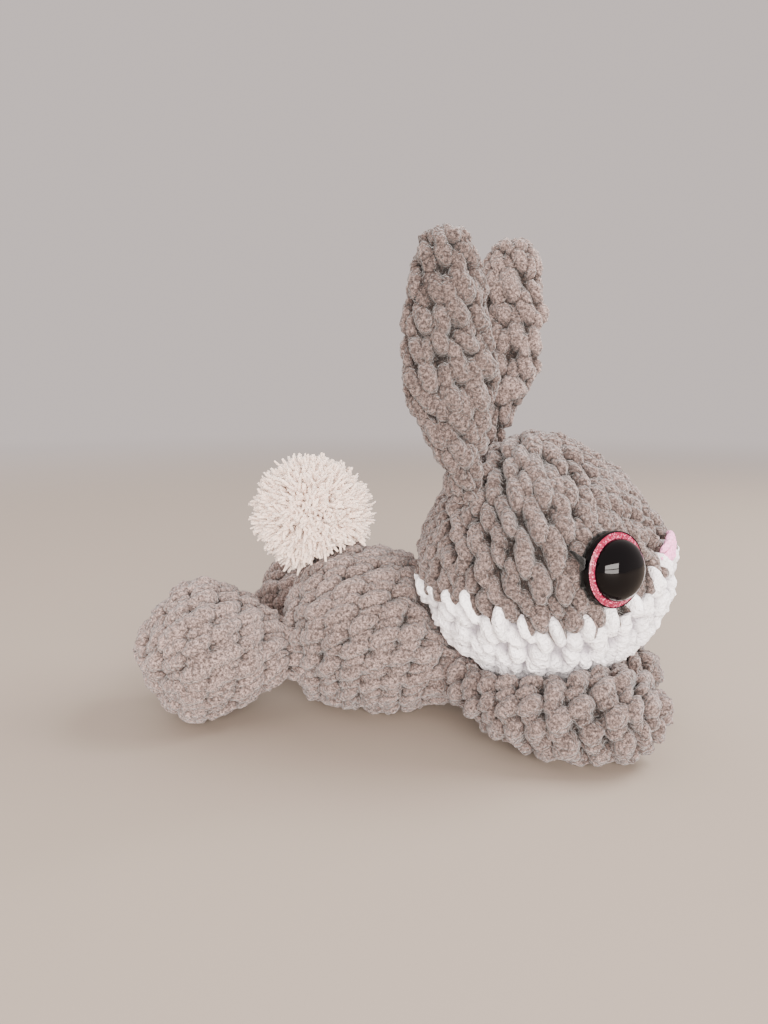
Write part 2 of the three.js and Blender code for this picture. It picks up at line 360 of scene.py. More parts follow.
def tube_base(node, start_near, caps, across, toward):
    """A stuffed tube's outer surface. caps are the depths in mm at which its round ends start."""
    tree = tree_of(node)
    spine, length = spine_of(node, start_near, toward)
    first, last = caps[0] / length, 1 - caps[1] / length
    body = (last - first) * length
    near, far = caps[0] * math.pi / 2, caps[1] * math.pi / 2
    run = np.linspace(0, 1, BASE_RINGS) * (near + body + far)
    share = first + (last - first) * np.clip((run - near) / body, 0, 1)
    past = run - near - body
    lean = np.where(past > 0, past / far, np.minimum(run / near - 1, 0)) * math.pi / 2
    lean = np.clip(lean, -math.pi / 2 + 1e-3, math.pi / 2 - 1e-3)
    sources = spine(share)
    ahead = unit(spine(share + 0.01) - spine(share - 0.01))
    side = unit(across - (ahead @ across)[:, None] * ahead)
    spoke = spokes(side, np.cross(ahead, side), TUBE_SIDES)
    directions = spoke * np.cos(lean)[:, None, None] + ahead[:, None] * np.sin(lean)[:, None, None]
    grid = blur(even_rings(blur(cast(tree, sources, directions), 2)), 5)
    redrawn = 1.9 * caps[1]  # mm, the far end that goes straight on into the neighbour
    return blur(carried_in(grid, ring_run(grid)[-1] - redrawn, redrawn), 2)


# ---- stitches


def bearing(turn, degrees=0.0):
    """1 where a turn points a given way round the piece, -1 where it points away."""
    return np.cos(2 * math.pi * turn - math.radians(degrees))


class Rounds:
    """How the stitches of one piece are laid: their number in each round and each one's quirks."""

    def __init__(self, grid, fabric, seed):
        dice = np.random.default_rng(seed)
        run, girth = ring_run(grid), girths(grid)
        self.fabric = fabric
        self.border = -1  # the round worked in SPIKES instead of the fabric's own lobes, if any
        self.count = max(3, round(run[-1] / fabric.rise))
        self.rise = run[-1] / self.count
        girth_there = np.interp((np.arange(self.count) + 0.5) * self.rise, run, girth)
        self.stitches = np.maximum(5, np.round(girth_there / fabric.width)).astype(int)
        stagger = fabric.stagger + fabric.swirl * np.exp(-np.arange(self.count) / 1.5)
        self.shift = np.cumsum(stagger / self.stitches)
        shape_of_stitch = fabric.width / fabric.rise
        plain = math.atan(fabric.stagger * shape_of_stitch)
        self.swept = np.arctan(stagger * shape_of_stitch) - plain
        shape = (self.count, self.stitches.max() + 1)
        quirks = [dice.normal(0, spread * fabric.loose, shape) for spread in STRAY]
        self.aside, self.ahead, size, proud, self.slant = quirks
        self.size = 1 + size.clip(-0.2, 0.2)
        self.proud = proud.clip(-0.9, 0.7)
        self.curl = dice.normal(0, 0.6, shape)
        self.tone = dice.uniform(0, 1, shape)

    def lean(self, turn):
        """How far the stuffing pulls the stitches over, one way on one side and back on the other."""
        amount, most_at = self.fabric.pull
        return math.radians(amount) * bearing(turn, most_at)

    def slimness(self, turn):
        """The width of the strands, a share of their own: slim where the stuffing parts them."""
        amount, most_at = self.fabric.slim
        return 1 - amount * bearing(turn, most_at).clip(0, 1) ** 2


def lobe_height(lobe, dx, dy, slant, curl, size, squeeze):
    """Height of one plump capsule over the fabric's floor. Past its flank it keeps on falling."""
    across = dx * np.cos(slant) - dy * np.sin(slant)
    along = (dx * np.sin(slant) + dy * np.cos(slant)) / (lobe.long * size)
    across = across / (lobe.wide * size * squeeze) - CURL * curl * (along**2 - 0.3)
    spread = across**2 + np.abs(along) ** LOBE_ENDS
    round_top = np.sqrt(np.maximum(1 - spread, 1 - ROUND_TOP))
    flank = FLANK_TOP - FLANK_FALL * (spread - ROUND_TOP)
    dome = np.where(spread < ROUND_TOP, round_top, np.maximum(flank, -2.0))
    return lobe.thick * dome + lobe.proud_end * along.clip(-1, 1)


def crochet(rounds, row, turn, girth, rows):
    """The fabric's height, the stitch's tone and how near its edge is, at points by round and turn.

    Only the stitches of the rounds from rows[0] up to rows[1] are there.
    """
    fabric = rounds.fabric
    strands = [(lobe, False) for lobe in fabric.lobes] + [(lobe, True) for lobe in SPIKES]
    best = np.full(row.shape, NO_STITCH)
    second = np.full(row.shape, NO_STITCH)
    tone = np.zeros(row.shape)
    for step, side in itertools.product((-1, 0, 1), repeat=2):
        r = np.floor(row).astype(int) + step
        real = (r >= rows[0]) & (r < rows[1])
        r = np.clip(r, 0, rounds.count - 1)
        stitches = rounds.stitches[r]
        place = (turn - rounds.shift[r]) * stitches
        width = girth / stitches
        which = np.floor(place) + side
        own = np.mod(which, stitches).astype(int)
        squeeze = np.minimum(1.0, width / fabric.width * ROOMY) * rounds.slimness(turn)
        for lobe, spike in strands:
            real_here = real & ((r == rounds.border) == spike)
            if not real_here.any():
                continue
            dx = (place - which - 0.5 + rounds.aside[r, own] - lobe.aside) * width
            dy = (row - r - 0.5 + rounds.ahead[r, own] - lobe.ahead) * rounds.rise
            slant = math.radians(lobe.slant) + rounds.slant[r, own] + rounds.swept[r] + rounds.lean(turn)
            height = lobe_height(lobe, dx, dy, slant, rounds.curl[r, own], rounds.size[r, own], squeeze)
            height = np.where(real_here, height + rounds.proud[r, own], NO_STITCH)
            tone = np.where(height > best, rounds.tone[r, own], tone)
            second = np.maximum(second, np.minimum(best, height))
            best = np.maximum(best, height)
    return best, tone, np.clip(1 - (best - second) / CREASE_HALF, 0, 1)


def lumps(points, size, seed):
    """Smooth random numbers from -1 to 1 at points in mm. A bump is about size mm wide."""
    table = np.random.default_rng(seed).uniform(-1, 1, (32, 32, 32))
    place = points / size + 1000
    cell = np.floor(place).astype(int)
    part = place - cell
    part = part * part * (3 - 2 * part)
    total = np.zeros(points.shape[:-1])
    for corner in itertools.product((0, 1), repeat=3):
        index = (cell + corner) % 32
        weight = np.where(np.array(corner) == 1, part, 1 - part).prod(-1)
        total += weight * table[index[..., 0], index[..., 1], index[..., 2]]
    return total


def pile(points, seed):
    """The chenille's own unevenness in mm: soft lumps in the yarn and ragged pile ends."""
    return 0.50 * lumps(points, 2.5, seed) + 0.50 * lumps(points, 1.2, seed + 1)


def stitched(base, rounds, seed, rows):
    """Sinks a base grid between its stitches. Returns points, painted shade of the creases, tone and
    distance along.

    Only the rounds from rows[0] up to rows[1] are worked. The rest of the skin lies deeper.
    """
    fabric = rounds.fabric
    thick = fabric.lobes[0].thick
    grid = refine(base, GRID)
    run, girth = ring_run(grid), girths(grid)
    shape = grid.shape[:2]
    row = np.broadcast_to((run / rounds.rise)[:, None], shape)
    turn = np.broadcast_to((np.arange(shape[1]) / shape[1])[None], shape)
    settled = np.minimum(1, np.minimum(run, run[-1] - run) / SETTLED)[:, None]
    row = row - fabric.tilt * settled * bearing(turn)
    around = np.broadcast_to(np.maximum(girth, 1)[:, None], shape)
    height, tone, edge = crochet(rounds, row, turn, around, rows)
    if rows[0] == 0:
        height = np.maximum(height, pole_height(run, thick)[:, None])
    if rows[1] == rounds.count:
        height = np.maximum(height, pole_height(run[-1] - run, thick)[:, None])
    floor = FLOOR_SHARE * thick
    worked = (row > rows[0]) & (row < rows[1])
    height = np.maximum(height, np.where(worked, floor, UNWORKED))
    # The skin is painted darker where it lies deep and where two lobes meet: painted shade in the
    # creases.
    depth = np.clip(1 - height / thick, 0, 1)
    painted_shade = np.clip(CREASE_EDGE * edge * depth + CREASE_DEEP * depth**2, 0, 1)
    lift = height - thick + PROUD + pile(grid, seed)
    normals = normals_of(grid, grid.mean(1))
    return grid + normals * lift[..., None], painted_shade, tone, run


def pole_height(run, thick):
    """The gathered tuft of yarn that closes a pole, as a height at each distance from it."""
    dome = np.sqrt(np.maximum(0, 1 - (run / POLE_RADIUS) ** 2))
    return np.where(run < POLE_RADIUS, POLE_HEIGHT * thick * dome, NO_STITCH)


# ---- meshes


def grid_faces(rings, sides):
    """Quads between rings as corner numbers, and each corner's turn and ring place, 0 to 1."""
    i, j = np.meshgrid(np.arange(rings - 1), np.arange(sides), indexing="ij")
    right = (j + 1) % sides
    quads = np.stack([i * sides + j, i * sides + right, (i + 1) * sides + right, (i + 1) * sides + j], -1)
    turn = np.stack([j, j + 1, j + 1, j], -1) / sides
    ring = np.stack([i, i, i + 1, i + 1], -1) / (rings - 1)
    return quads.reshape(-1, 4), np.stack([turn, ring], -1).reshape(-1, 4, 2)


def pole_faces(first, sides, pole, at_start):
    """The fan of triangles from a ring to its pole, with each corner's place on the unwrap."""
    j = np.arange(sides)
    right = (j + 1) % sides
    level, edge = (0.0, 0.002) if at_start else (1.0, 0.998)
    faces = np.stack([np.full(sides, pole), first + j, first + right], -1)
    turn = np.stack([j + 0.5, j, j + 1], -1) / sides
    ring = np.broadcast_to([level, edge, edge], (sides, 3))
    if at_start:
        faces, turn = faces[:, [0, 2, 1]], turn[:, [0, 2, 1]]
    return faces, np.stack([turn, ring], -1)


def turn_outward(mesh, points, quads):
    """Faces a mesh outward, by the volume that some of its quads enclose, and shades it smooth."""
    a, b, c, d = (points[quads[:, k]] for k in range(4))
    halves = np.cross(b, c) + np.cross(c, d)
    if np.einsum("ij,ij->i", a, halves).sum() < 0:
        mesh.flip_normals()
    mesh.shade_smooth()


def link(name, data):
    """Puts a mesh, a light or a camera in the scene as an object."""
    thing = bpy.data.objects.new(name, data)
    bpy.context.scene.collection.objects.link(thing)
    return thing


def write(items, key, values, kind=np.float32):
    items.foreach_set(key, values.astype(kind).ravel())


def mark(mesh, key, values):
    """Keeps a number for each point of a mesh, for its material to read."""
    write(mesh.attributes.new(key, "FLOAT", "POINT").data, "value", values)


def skin_mesh(name, grid, values, tips=(None, None)):
    """A closed mesh from rings of points in mm, its two ends closed by a point each.

    values are named numbers per grid point, kept as attributes for the material.
    """
    rings, sides = grid.shape[:2]
    ends = [ring.mean(0) if tip is None else tip for ring, tip in zip((grid[0], grid[-1]), tips)]
    points = np.concatenate([grid.reshape(-1, 3), ends])
    quads, quad_uv = grid_faces(rings, sides)
    quad_uv[..., 1] = 0.002 + 0.996 * quad_uv[..., 1]
    near, near_uv = pole_faces(0, sides, rings * sides, True)
    far, far_uv = pole_faces((rings - 1) * sides, sides, rings * sides + 1, False)
    corners = np.concatenate([quads.ravel(), near.ravel(), far.ravel()])
    uv = np.concatenate([quad_uv.reshape(-1, 2), near_uv.reshape(-1, 2), far_uv.reshape(-1, 2)])
    sizes = np.concatenate([np.full(len(quads), 4), np.full(2 * sides, 3)])
    mesh = raw_mesh(name, points, corners, sizes, uv)
    for key, value in values.items():
        mark(mesh, key, np.concatenate([value.ravel(), [value[0].mean(), value[-1].mean()]]))
    turn_outward(mesh, points, quads)
    return link(name, mesh)


def raw_mesh(name, points, corners, sizes, uv):
    """A mesh from points in mm, its faces' corners one after the other, and the OFBake unwrap."""
    mesh = bpy.data.meshes.new(name)
    mesh.vertices.add(len(points))
    write(mesh.vertices, "co", points * MM)
    mesh.loops.add(len(corners))
    write(mesh.loops, "vertex_index", corners, np.int32)
    mesh.polygons.add(len(sizes))
    write(mesh.polygons, "loop_start", np.cumsum(sizes) - sizes, np.int32)
    mesh.update(calc_edges=True)
    mesh.validate()
    write(mesh.uv_layers.new(name="OFBake").data, "uv", uv)
    return mesh


def finish_piece(piece, material, nodes):
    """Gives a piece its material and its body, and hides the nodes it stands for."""
    piece.data.materials.append(material)
    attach(piece, "root")
    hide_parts(*nodes)


# ---- materials


def add(tree, kind, settings=None, **links):
    """Adds a shader node, sets its properties and sockets, and links the sockets named.

    A link comes from an output, or from a node's first output.
    """
    node = tree.nodes.new("ShaderNode" + kind)
    for key, value in (settings or {}).items():
        if isinstance(key, str) and hasattr(node, key):
            setattr(node, key, value)
        else:
            node.inputs[key].default_value = value
    for key, source in links.items():
        target = node.inputs[int(key[3:]) if key.startswith("in_") else key.replace("_", " ")]
        tree.links.new(source.outputs[0] if hasattr(source, "outputs") else source, target)
    return node


def new_material(name):
    """An empty material, its tree, and the object coordinates that its noises read."""
    material = bpy.data.materials.new(name)
    material.use_nodes = True
    tree = material.node_tree
    tree.nodes.clear()
    return material, tree, add(tree, "TexCoord").outputs["Object"]


def noise(tree, place, scale, **settings):
    settings = {"Scale": scale, **settings}
    return add(tree, "TexNoise", settings, Vector=place).outputs["Fac"]


def bumped(tree, strength, distance, height, **links):
    """The shading normal over a bump. distance is in metres."""
    settings = {"Strength": strength, "Distance": distance}
    return add(tree, "Bump", settings, Height=height, **links)


def ranged(tree, value, start, end, low, high, **settings):
    """A value carried from one range into another."""
    limits = {"From Min": start, "From Max": end, "To Min": low, "To Max": high, **settings}
    return add(tree, "MapRange", limits, Value=value)


def blended(tree, first, second, share):
    """A mix of two hex colours."""
    ends = {"data_type": "RGBA", 6: linear(first), 7: linear(second)}
    return add(tree, "Mix", ends, Factor=share).outputs[2]


def surfaced(material, specular, finish, **links):
    """Closes a material with a principled surface."""
    tree = material.node_tree
    skin = add(tree, "BsdfPrincipled", {"Specular IOR Level": specular, **finish}, **links)
    add(tree, "OutputMaterial", Surface=skin)
    return material


def chenille(name, light, shade_colour, glow, speckle):
    """Polyester chenille, a cut velvet pile on a core: matt, soft-edged, speckled by its pile.

    The eye sees plump lobes whose tips catch the light, a grain of pile ends half a millimetre
    across, some lit and some in shade, and creases painted dark: painted shade where the pile closes over
    them.
    speckle is how far the pile ends lie from the mean brightness, as a share of it.
    """
    material, tree, place = new_material(name)
    ends = noise(tree, place, 2100.0, Detail=1.0)
    tufts = noise(tree, place, 1000.0, Detail=1.5)
    painted_shade = add(tree, "Attribute", {"attribute_name": "painted_shade"}).outputs["Fac"]
    tone = add(tree, "Attribute", {"attribute_name": "tone"}).outputs["Fac"]
    grains = []
    for source, darker, lighter in ((ends, 0.8, 0.8), (tufts, 0.9, 0.7)):
        grains.append(ranged(tree, source, 0.36, 0.64, 1 - darker * speckle, 1 + lighter * speckle))
    # The tone attribute is each stitch's random tone plus its piece's painted light (painted shade below
    # 0), scaling the colour.
    own = ranged(tree, tone, -2.0, 4.0, 0.66, 1.50)
    # The yarn's colour blends toward its second, darker colour by the crease attribute: painted shade in
    # creases.
    body = blended(tree, light, shade_colour, painted_shade)
    times = {"operation": "MULTIPLY"}
    grain = add(tree, "Math", times, in_0=grains[0], in_1=grains[1])
    shade = add(tree, "Math", times, in_0=grain, in_1=own)
    colour = add(tree, "VectorMath", {"operation": "SCALE"}, in_0=body, Scale=shade)
    soft = bumped(tree, 0.8, 0.0015, tufts)
    normal = bumped(tree, 0.7, 0.0004, ends, Normal=soft)
    finish = {"Roughness": 0.95, "Sheen Weight": glow, "Sheen Roughness": 0.5}
    return surfaced(material, 0.12, finish, Base_Color=colour, Normal=normal)


# Each yarn's second colour is the colour of its painted shade.
GREY_CHENILLE = chenille("grey_chenille_yarn", "#71615c", "#1b1512", glow=0.35, speckle=0.60)
WHITE_CHENILLE = chenille("white_chenille_yarn", "#fffbfd", "#968f98", glow=0.25, speckle=0.08)
PINK_CHENILLE = chenille("pink_chenille_yarn", "#ffa6d4", "#d070a0", glow=0.25, speckle=0.10)
CREAM_CHENILLE = chenille("cream_pompom_yarn", "#ffe7d6", "#ecccb8", glow=0.8, speckle=0.05)


def black_plastic():
    """Moulded black ABS, the eye's back shell: a deep black with a slightly soft gloss."""
    material, tree, place = new_material("moulded_black_abs")
    bump = bumped(tree, 0.05, 0.0002, noise(tree, place, 500.0))
    finish = {"Base Color": linear("#060506"), "Roughness": 0.22, "IOR": 1.52}
    return surfaced(material, 0.15, finish, Normal=bump)


def black_gloss():
    """Polished black acrylic, the pupil: nearly no colour of its own, sharp clear reflections."""
    material, tree, place = new_material("polished_black_acrylic")
    haze = noise(tree, place, 160.0, Detail=3.0)
    gloss = ranged(tree, haze, 0, 1, 0.02, 0.07)
    finish = {"Base Color": linear("#030203"), "IOR": 1.49}
    return surfaced(material, 0.24, finish, Roughness=gloss)


def pink_glitter():
    """Pink glitter under clear lacquer: flakes a third of a millimetre wide, each tilted its own way, a
    few painted pale as painted glints.
    """
    material, tree, place = new_material("lacquered_pink_glitter")
    flakes = add(tree, "TexVoronoi", {"Scale": 3000.0}, Vector=place)
    parts = add(tree, "SeparateColor", Color=flakes.outputs["Color"])
    # A few flakes are painted pale pink: painted glints, over the glitter's own deep pink.
    painted_glint = add(tree, "Math", {"operation": "POWER", 1: 7.0}, in_0=parts)
    colour = blended(tree, "#7c0c30", "#ff98b4", painted_glint)
    tilt = bumped(tree, 0.5, 0.0002, parts.outputs[1])
    finish = {"Roughness": 0.4, "Coat Weight": 0.35, "Coat Roughness": 0.04}
    return surfaced(material, 0.2, finish, Base_Color=colour, Normal=tilt)


def felt(name, colour):
    """Pressed wool felt: matt, tangled fibres half a millimetre apart that take light unevenly."""
    material, tree, place = new_material(name)
    fibre = noise(tree, place, 1600.0, Detail=3.0, Distortion=1.5)
    bump = bumped(tree, 0.8, 0.0004, fibre)
    spread = ranged(tree, fibre, 0.3, 0.75, 0.6, 2.2)
    black = {"operation": "SCALE", 0: linear(colour)[:3]}
    own = add(tree, "VectorMath", black, Scale=spread)
    finish = {"Roughness": 1.0, "Sheen Weight": 0.15}
    return surfaced(material, 0.1, finish, Base_Color=own, Normal=bump)


# ---- the stuffed pieces


# The head's centre, its up (out of the crown), and its face direction.
HEAD_MIDDLE, HEAD_UP = flat_of("chin")
TO_NOSE = places_of("nose").mean(0) - HEAD_MIDDLE
HEAD_FACE = unit(TO_NOSE - (TO_NOSE @ HEAD_UP) * HEAD_UP)
BORDER_WAVE = 5.0  # mm that the white climbs and falls round the head
BORDER_LOW = 2.6  # mm that it lies below the head's middle
NOSE_DROP = 6.5  # mm that the white lies lower on the far side of the nose
NOSE_DROP_TOWARD = 20.0  # degrees from the face round to there
NOSE_DROP_WIDE = 19.0  # degrees
CROWN_SHIFT = 13.0  # degrees from the border's own pole to the crown, where the rounds start
CROWN_TOWARD = 114.0  # degrees from the face round to the side the crown lies on


def turned_about(vectors, axis, angle):
    """Vectors turned about an axis, each by its own angle in radians."""
    cosine, sine = np.cos(angle)[..., None], np.sin(angle)[..., None]
    along = (vectors @ axis)[..., None] * axis
    return vectors * cosine + np.cross(axis, vectors) * sine + along * (1 - cosine)


def head_base():
    """The whole round head. Its rings bend as the colour border does: high at the nose and cheeks."""
    tree = tree_of("head", "chin", without=(HEAD_MIDDLE, HEAD_UP))
    left = np.cross(HEAD_UP, HEAD_FACE)
    azimuth = turns(HEAD_SIDES)
    radius = lengths(places_of("chin") - HEAD_MIDDLE).max()
    polar = math.pi * np.linspace(0, 1, BASE_RINGS)[:, None]
    off_drop = (azimuth - math.radians(NOSE_DROP_TOWARD)) / math.radians(NOSE_DROP_WIDE)
    beside_nose = np.exp(-(off_drop**2))
    wave = BORDER_WAVE * np.cos(3 * azimuth) - BORDER_LOW - NOSE_DROP * beside_nose
    bend = wave / radius * np.sin(polar) ** 2
    polar = np.clip(polar - bend, 1e-3, math.pi - 1e-3)
    flat = spokes(HEAD_FACE[None], left[None], HEAD_SIDES)
    directions = np.sin(polar)[..., None] * flat + np.cos(polar)[..., None] * HEAD_UP
    toward = math.radians(CROWN_TOWARD)
    axis = np.cross(HEAD_UP, math.cos(toward) * HEAD_FACE + math.sin(toward) * left)
    shift = math.radians(CROWN_SHIFT) * np.cos(np.minimum(polar, math.pi / 2)) ** 2
    directions = turned_about(directions, axis, shift)
    return blur(cast(tree, np.repeat(HEAD_MIDDLE[None], BASE_RINGS, 0), directions), 4)


EYE_SINK = {"right": 0.3, "left": 4.6}  # mm the back of an eye is pulled into the head
EYE_SLIDE = {"right": (0.0, 0.0, 0.0), "left": (-0.9, 2.4, -1.2)}  # mm along the head
HOLLOW_RADIUS = 12.8  # mm, the hollow that the left eye lies in
HOLLOW_HEIGHT = 1.2  # mm that its yarn lies over the back of the eye
HOLLOW_SLOPE = 1.6  # mm that the yarn climbs for each mm outside it
YARN_OVERLAP = 1.3  # rounds that the skin of each yarn goes on past the border


def eye_seat(side):
    """The middle of an eye's back and the way into the head."""
    back, inward = flat_of(f"eye_{side}")
    return back + EYE_SINK[side] * inward + EYE_SLIDE[side], inward


def pressed_in(points, side, lower):
    """Stitches that an eye's washer pulls down all round it, so that its ring stays clear of them.

    lower is how many mm farther they go, for the yarn that lies under the other one there.
    """
    back, inward = eye_seat(side)
    height = -((points - back) @ inward)
    off_axis = lengths(points - back + height[..., None] * inward)
    allowed = HOLLOW_HEIGHT - lower + HOLLOW_SLOPE * (off_axis - HOLLOW_RADIUS).clip(0, None)
    return points + (height - allowed).clip(0, None)[..., None] * inward


def make_head():
    """The grey top and the white bottom: one run of stitches, cut where the yarn changes."""
    base = head_base()
    rounds = Rounds(base, HEAD_FABRIC, seed=11)
    border = rounds.count // 2
    halves = (
        # node, material, slot, rounds, how much lighter it is painted (painted light; below 0, painted
        # shade), mm lower in the eye's hollow, tips
        ("head", GREY_CHENILLE, "grey_yarn", (0, border), -0.9, 0.0, (None, HEAD_MIDDLE)),
        ("chin", WHITE_CHENILLE, "white_yarn", (border, rounds.count), 0.4, 0.6, (HEAD_MIDDLE, None)),
    )
    rounds.border = border
    for node, material, slot, rows, painted_lightness, lower, tips in halves:
        points, painted_shade, tone, run = stitched(base, rounds, 12, rows)
        points = pressed_in(points, "left", lower)
        first, last = np.searchsorted(run / rounds.rise, (rows[0] - YARN_OVERLAP, rows[1] + YARN_OVERLAP))
        keep = slice(first, last)
        values = {"painted_shade": painted_shade[keep], "tone": tone[keep] + painted_lightness}
        piece = skin_mesh(f"{node}_stitches", points[keep], values, tips)
        finish_piece(piece, material, [node])


def make_tube(node, start_near, caps, fabric, seed, across=UP, painted_lightness=0.0, blunt=False, toward=None):
    """A stuffed grey piece worked in rounds from the end that is near a place.

    ball is painted light: how much lighter the whole piece is painted, from -2 to 3; below 0 it is
    painted shade. blunt makes the first end fuller.
    """
    base = tube_base(node, start_near, caps, across, toward)
    if blunt:
        base = blunted(base)
    rounds = Rounds(base, fabric, seed)
    points, painted_shade, tone, _ = stitched(base, rounds, seed + 1, (0, rounds.count))
    points[..., 2] = np.maximum(points[..., 2], CLEAR_OF_FLOOR)
    piece = skin_mesh(f"{node}_stitches", points, {"painted_shade": painted_shade, "tone": tone + painted_lightness})
    finish_piece(piece, GREY_CHENILLE, [node])


def far_point(node, away_from):
    """The corner of a node farthest from a place."""
    corners = places_of(node)
    return corners[np.argmax(lengths(corners - away_from))]


def make_body():
    """The trunk, worked from the rump, and the legs and ears, each worked from its tip."""
    trunk_middle = places_of("trunk").mean(0)
    # Trunk, feet and left ear are painted lighter and the right ear darker: painted light and shade for
    # how light falls on them.
    make_tube("trunk", trunk_middle - 200 * RIGHTWARD, (30, 12), BODY_FABRIC, 21, painted_lightness=1.5)
    for side, seed, toward in (("right", 31, None), ("left", 41, trunk_middle)):
        heel = far_point(f"hindleg_{side}", trunk_middle)
        make_tube(f"hindleg_{side}", heel, (26, 8), FOOT_FABRIC, seed, painted_lightness=2.8, toward=toward)
    for side, seed in (("right", 51), ("left", 61)):
        paw = far_point(f"foreleg_{side}", trunk_middle)
        make_tube(f"foreleg_{side}", paw, (15, 8), ARM_FABRIC, seed)
    for side, seed, painted_lightness in (("right", 71, -1.7), ("left", 81, 2.0)):
        tip = far_point(f"ear_{side}", HEAD_MIDDLE)
        make_tube(f"ear_{side}", tip, (11, 5), EAR_FABRIC, seed, RIGHTWARD, painted_lightness, blunt=True)


# ---- eyes and felts

EYE_PROFILE = {
    # part: (radius, height) from the outside in, in mm; height 0 is the back of the eye
    "rim": ((11.4, 0.0), (11.9, 0.1), (12.1, 0.5), (12.1, 2.3), (11.9, 2.5), (11.75, 2.4), (11.7, 2.0)),
    "iris": ((11.75, 1.8), (11.72, 2.3), (11.2, 2.6), (10.4, 2.85), (9.9, 2.9), (9.6, 2.7)),
}
PUPIL_RADIUS = 9.9
PUPIL_BASE = 2.6
EYE_HEIGHT = 9.2


def pupil_profile(steps=14):
    """A full, steep-sided dome."""
    lean = np.linspace(0, math.pi / 2, steps)[:-1]
    radius = PUPIL_RADIUS * np.cos(lean) ** 0.85
    height = PUPIL_BASE + (EYE_HEIGHT - PUPIL_BASE) * np.sin(lean)
    return list(zip(radius, height))


def turned(name, profile, middle, axis, sides=96):
    """A turned part: a disc extruded ring by ring along its profile, then set on its axis."""
    bpy.ops.object.select_all(action="DESELECT")
    radius, height = profile[0]
    bpy.ops.mesh.primitive_circle_add(vertices=sides, radius=radius * MM, fill_type="NGON")
    piece = bpy.context.object
    piece.name = piece.data.name = name
    bpy.ops.object.mode_set(mode="EDIT")
    bpy.ops.mesh.select_all(action="SELECT")
    for wider, higher in profile[1:]:
        bpy.ops.mesh.extrude_region_move(TRANSFORM_OT_translate={"value": (0, 0, (higher - height) * MM)})
        share = wider / radius
        bpy.ops.transform.resize(value=(share, share, 1))
        radius, height = wider, higher
    bpy.ops.mesh.select_all(action="SELECT")
    bpy.ops.mesh.normals_make_consistent(inside=False)
    bpy.ops.object.mode_set(mode="OBJECT")
    turn = Vector(axis).to_track_quat("Z", "Y").to_matrix().to_4x4()
    start = Vector((middle + axis * profile[0][1]) * MM)
    piece.data.transform(Matrix.Translation(start) @ turn)
    bpy.ops.object.shade_smooth_by_angle(angle=math.radians(50))
    return piece


FELT_SHARE = 0.94  # the felt's width, a share of its node's
FELT_GRAIN = 0.35  # mm between its points
FACE_ROUGH = 0.10  # mm that its faces are uneven, and that its cut edge is, on top
EDGE_ROUGH = 0.55
EDGE_WAVE = 0.3  # mm that the edge strays in slower waves
LASH_START = 12.9  # mm from the eye's middle, where the lash leaves the round
LASH_LIFT = 2.2  # mm farther out that it lies, on the yarn
LASH_LONGER = 0.24  # a share
LASH_RISE = 4.0  # mm that it turns up


def make_eye(side, materials):
    node = f"eye_{side}"
    back, inward = eye_seat(side)
    parts = {**EYE_PROFILE, "pupil": pupil_profile()}
    for part, profile in parts.items():
        piece = turned(f"{node}_{part}", profile, back, -inward)
        finish_piece(piece, materials[part], [node])


def make_felt(side, material):
    """Cut felt behind an eye: the node's outline, its cut edge a little ragged."""
    node = f"eye_felt_{side}"
    piece = link(f"{node}_cut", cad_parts[node].data.copy())
    bpy.ops.object.select_all(action="DESELECT")
    piece.select_set(True)
    bpy.context.view_layer.objects.active = piece
    piece.data.materials.clear()
    bpy.ops.object.mode_set(mode="EDIT")
    bpy.ops.mesh.select_all(action="SELECT")
    bpy.ops.mesh.remove_doubles(threshold=0.00001)
    bpy.ops.object.mode_set(mode="OBJECT")
    remesh = piece.modifiers.new("fibres", "REMESH")
    remesh.mode = "VOXEL"
    remesh.voxel_size = FELT_GRAIN * MM
    bpy.ops.object.modifier_apply(modifier=remesh.name)
    points = triples(piece.data.vertices, "co") / MM
    back, inward = flat_of(f"eye_{side}")
    off_axis = (points - back) - ((points - back) @ inward)[:, None] * inward
    points += (FELT_SHARE - 1) * off_axis + EYE_SINK[side] * inward + EYE_SLIDE[side]
    normals = triples(piece.data.vertices, "normal")
    edge = 1 - np.abs(normals @ inward)
    ragged, wavy = lumps(points, 0.9, 5), lumps(points, 2.2, 6)
    shove = (FACE_ROUGH + EDGE_ROUGH * edge) * ragged + EDGE_WAVE * edge * wavy
    points += normals * shove[:, None]
    beyond = lengths(off_axis)[:, None] - LASH_START
    points -= LASH_LIFT * np.clip(beyond / 0.5, 0, 1) * inward
    points += np.clip(beyond / 3.5, 0, 1) * (LASH_LONGER * off_axis + LASH_RISE * UP)
    write(piece.data.vertices, "co", points * MM)
    piece.data.shade_smooth()
    finish_piece(piece, material, [node])


# ---- nose and pompom


def strand_rings(path, radius, sides):
    """Rings of points round a path of points in mm, one radius for each point."""
    ahead = unit(np.gradient(path, axis=0))
    side = unit(np.cross(ahead, unit(ahead[0] + np.array([0.3, 0.5, 0.8]))))
    side = unit(side - (side * ahead).sum(-1, keepdims=True) * ahead)
    return path[:, None] + spokes(side, np.cross(ahead, side), sides) * radius[:, None, None]


NOSE_STRANDS = 3
NOSE_YARN = 1.25  # mm, radius of a strand
NOSE_STEP = 1.55  # from strand to strand, in radii
NOSE_SHARE = 0.86  # the middle strand's length, a share of the node's width
NOSE_SHORTER = 0.10  # how much shorter its neighbours are
NOSE_ASIDE = 1.3  # mm toward the toy's right
NOSE_DEEP = 2.3  # radii that the strands lie inside the node's front
NOSE_DIP = 1.5  # mm that their ends dip into the head


